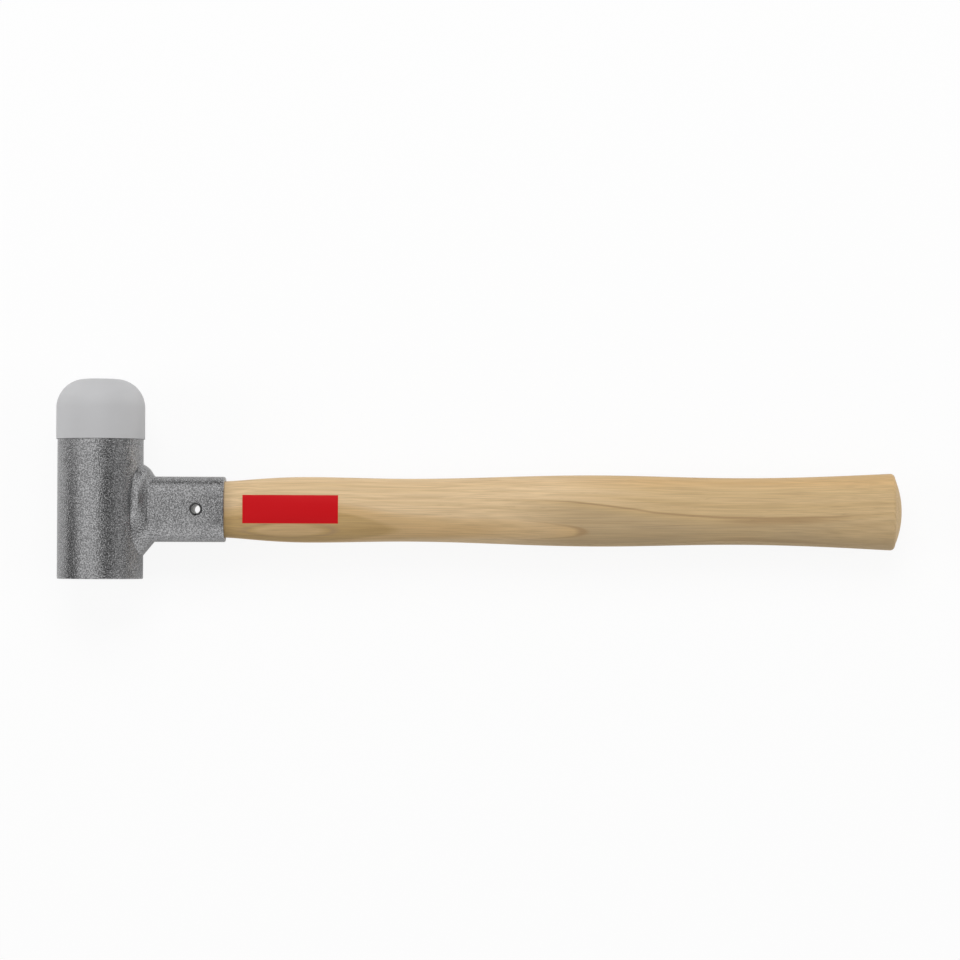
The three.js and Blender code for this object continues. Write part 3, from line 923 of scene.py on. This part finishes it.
def printed_field(tree, parts):
    """1 on the printed field on the handle's front."""
    mask = maths(tree, "GREATER_THAN", parts["Z"], 0)
    for axis, (low, high) in FIELD_REACH.items():
        mask = maths(tree, "MULTIPLY", mask, soft_step(tree, parts[axis], low, FIELD_EDGE))
        past = soft_step(tree, parts[axis], high, FIELD_EDGE)
        mask = maths(tree, "MULTIPLY", mask, maths(tree, "SUBTRACT", 1, past))
    return mask


def make_hickory():
    """Oiled hickory: growth rings about a pith behind the handle, with streaks and pores along it."""
    material, tree, shader = blank_material("oiled_hickory")
    place = object_place(tree)
    parts = split(tree, place)
    ring = ring_depth(tree, place)
    streaks = stretched_noise(tree, place, STREAK_GRAIN)
    tone = figured_tone(tree, parts, ring, straw_tone(tree, parts, ring))
    tone = streaked_tone(tree, place, streaks, tone)
    # The grip's lower edge turns olive and darker: partly the wood's tone, partly painted shade.
    tone = blend_colours(tree, olive_and_shade_edge(tree, parts), tone, OLIVE_WOOD)
    printed = printed_field(tree, parts)
    roughness = remap(tree, streaks, *STREAK_ROUGHNESS)
    set_inputs(tree, shader, {
        "Base Color": blend_colours(tree, printed, tone, FIELD_RED),
        "Roughness": maths(tree, "MULTIPLY_ADD", printed, FIELD_ROUGHNESS_CHANGE, roughness),
        "Specular IOR Level": WOOD_SPECULAR,
        "Normal": bump(tree, streaks, *WOOD_BUMP),
    })
    return material


# The hammer

grain = make_grain_group()
hammered_paint = make_hammered_paint(grain)
grey_nylon = make_grey_nylon(grain)
turned_steel = make_turned_steel(grain)
hickory = make_hickory()
pin_steel = make_plain_steel("shaded_pin_steel", grain, PIN_SHADE_TONES, PIN_ROUGHNESS, PIN_BORE_TONE)
shot_steel = make_plain_steel("ground_shot_steel", grain, SHOT_TONES, SHOT_ROUGHNESS)


def fit_piece(piece, material, body, slot, *nodes):
    """Gives a piece its material, and puts it on its body in the place of the nodes."""
    piece.data.materials.clear()
    piece.data.materials.append(material)
    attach(piece, body)
    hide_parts(*nodes)


tube = make_head_tube()
socket = make_socket()
weld = make_weld()
handle = make_handle()
drill_pin_hole(socket, handle)
fit_piece(tube, hammered_paint, "hammer", "grey_paint", "head_tube")
fit_piece(socket, hammered_paint, "hammer", "grey_paint", "handle_socket")
fit_piece(weld, hammered_paint, "hammer", "grey_paint", "socket_weld")
fit_piece(handle, hickory, "hammer", "hickory", "handle")
fit_piece(make_steel_face(), turned_steel, "hammer", "bright_steel", "steel_face")
fit_piece(make_nylon_insert(), grey_nylon, "hammer", "grey_nylon", "nylon_insert")
fit_piece(make_pin(), pin_steel, "hammer", "spring_steel", "spring_pin")
shot_nodes = sorted(node for node in frame["nodes"] if node.startswith("shot_ball"))
for ball, node in zip(make_shot(shot_nodes), shot_nodes):
    fit_piece(ball, shot_steel, "shot", "steel_shot", node)
disc = frame["nodes"]["chamber_disc"]
disc.data.materials.clear()
disc.data.materials.append(turned_steel)

# Studio

CAMERA_PLACE = Vector((168 * MM, 15 * MM, 1650 * MM))
CAMERA_AIM = Vector((168 * MM, 44.4 * MM, 0))
CAMERA_ROLL = math.radians(0.23)
CAMERA_LENS = 139.8
CAMERA_SENSOR = 36
FLOOR_SIZE = 8.0
FLOOR_CONTACTS = (
    (0, TUBE_RIM_ROUNDING, -TUBE_RADIUS),
    (0, TUBE_LENGTH + INSERT_BASE_ROUNDING, -INSERT_RADIUS),
    (HANDLE_END - BUTT_DOME - BUTT_EDGE_RADIUS, HANDLE_HEIGHT, -BUTT_THICKNESS / 2),
)
FLOOR_PAPER = (0.9, 0.9, 0.9, 1)
FLOOR_GLOW = 0.9
FLOOR_MIRRORED_GLOW = 0.15
ROOM_LIGHT = 0.39
WHITE = (1, 1, 1, 1)

# Dark panels round the set, in metres: the shade, the middle, and half the reach across and up
PANELS = {
    "ceiling_panel": (0.03, (1.5, 0, 3), (0, 1, 0), (1.22, 0, 0)),
    "right_panel": (0.45, (1.31, 0.1, 0.71), (0, -0.5, 0), (-0.29, 0, 0.41)),
    "right_low_panel": (0.2, (1.5, 0.1, 0.14), (0, -0.6, 0), (0, 0, 0.16)),
    "left_panel": (0.15, (-0.35, -0.4, 0.1), (0, 0.5, 0), (0, 0, 0.12)),
    "far_panel": (0.02, (0.15, 1.9, 0.45), (0.8, 0, 0), (0, 0, 0.35)),
}

# Banks of light, in metres and watts
BANK_SIZE = (1.2, 0.8)
BANKS = {
    "upper_bank": ((0.05, 1.1, 1.2), 12),
    "left_bank": ((-2.2, 0.05, 1.1), 18),
    "right_bank": ((2.4, 0.05, 1.1), 15),
}


def seen_share(tree, straight, mirrored):
    """One share for rays from the camera, and one for rays from a reflection or through a clear piece."""
    path = add_node(tree, "ShaderNodeLightPath").outputs
    by_way = maths(tree, "MAXIMUM", path["Is Glossy Ray"], path["Is Transmission Ray"])
    by_way = maths(tree, "MULTIPLY", by_way, mirrored)
    return maths(tree, "MULTIPLY_ADD", path["Is Camera Ray"], straight, by_way)


def glow(tree, strength):
    return add_node(tree, "ShaderNodeEmission", {"Color": WHITE, "Strength": strength}).outputs[0]


def mix_shaders(tree, share, first, second):
    return add_node(tree, "ShaderNodeMixShader", {0: share, 1: first, 2: second}).outputs[0]


def show_front(tree, front):
    """Wires a shader to the output of a sheet that is clear from behind."""
    clear = add_node(tree, "ShaderNodeBsdfTransparent").outputs[0]
    back = add_node(tree, "ShaderNodeNewGeometry").outputs["Backfacing"]
    add_node(tree, "ShaderNodeOutputMaterial", {"Surface": mix_shaders(tree, back, front, clear)})


def make_white_floor():
    material = bpy.data.materials.new("white_floor")
    tree = blank_tree(material)
    paper = add_node(tree, "ShaderNodeBsdfDiffuse", {"Color": FLOOR_PAPER}).outputs[0]
    share = seen_share(tree, FLOOR_GLOW, FLOOR_MIRRORED_GLOW)
    show_front(tree, mix_shaders(tree, share, paper, glow(tree, 1.0)))
    return material


def lay_floor():
    """A floor that the head and the butt touch."""
    first, second, third = (Vector(point) for point in FLOOR_CONTACTS)
    up = (third - first).cross(second - first).normalized()
    if up.z < 0:
        up.negate()
    clear_selection()
    bpy.ops.mesh.primitive_plane_add(size=FLOOR_SIZE)
    floor = bpy.context.object
    floor.name = "floor"
    floor.location = first
    floor.rotation_mode = "QUATERNION"
    floor.rotation_quaternion = up.to_track_quat("Z", "Y")
    floor.data.materials.append(make_white_floor())


def set_up(name, data):
    """An object in the scene for a mesh, a light or a camera."""
    thing = bpy.data.objects.new(name, data)
    bpy.context.scene.collection.objects.link(thing)
    return thing


def aim(thing, place, roll=0):
    """Puts a light or a camera in its place and turns it to the middle of the hammer."""
    thing.location = place
    thing.rotation_mode = "QUATERNION"
    turn = (CAMERA_AIM - Vector(place)).to_track_quat("-Z", "Y")
    thing.rotation_quaternion = turn @ Quaternion((0, 0, 1), roll)


def hang_panel(name, shade, centre, across, up):
    """A dark panel, clear from behind, that only reflections see: it gives shiny work its dark bands."""
    centre, across, up = Vector(centre), Vector(across), Vector(up)
    corners = [centre - across - up, centre + across - up, centre + across + up, centre - across + up]
    mesh = bpy.data.meshes.new(name)
    mesh.from_pydata(corners, [], [(0, 1, 2, 3)])
    panel = set_up(name, mesh)
    panel.visible_camera = panel.visible_diffuse = panel.visible_shadow = False
    material = bpy.data.materials.new(name)
    tree = blank_tree(material)
    show_front(tree, glow(tree, shade))
    mesh.materials.append(material)


def hang_bank(name, place, power):
    """A soft bank of light that reflections don't see."""
    data = bpy.data.lights.new(name, "AREA")
    data.shape = "RECTANGLE"
    data.size, data.size_y = BANK_SIZE
    data.energy = power
    bank = set_up(name, data)
    bank.visible_glossy = False
    aim(bank, place)


def light_room():
    """White to the eye and in reflections, and a softer light on everything."""
    world = bpy.data.worlds.new("room")
    bpy.context.scene.world = world
    tree = blank_tree(world)
    soft = add_node(tree, "ShaderNodeBackground", {"Color": WHITE, "Strength": ROOM_LIGHT}).outputs[0]
    white = add_node(tree, "ShaderNodeBackground", {"Color": WHITE, "Strength": 1.0}).outputs[0]
    surface = mix_shaders(tree, seen_share(tree, 1, 1), soft, white)
    add_node(tree, "ShaderNodeOutputWorld", {"Surface": surface})


def set_camera():
    data = bpy.data.cameras.new("camera")
    data.lens = CAMERA_LENS
    data.sensor_width = CAMERA_SENSOR
    camera = set_up("camera", data)
    aim(camera, CAMERA_PLACE, CAMERA_ROLL)
    bpy.context.scene.camera = camera


lay_floor()
light_room()
for panel_name, panel in PANELS.items():
    hang_panel(panel_name, *panel)
for bank_name, bank in BANKS.items():
    hang_bank(bank_name, *bank)
set_camera()
bpy.context.scene.view_settings.view_transform = "Standard"
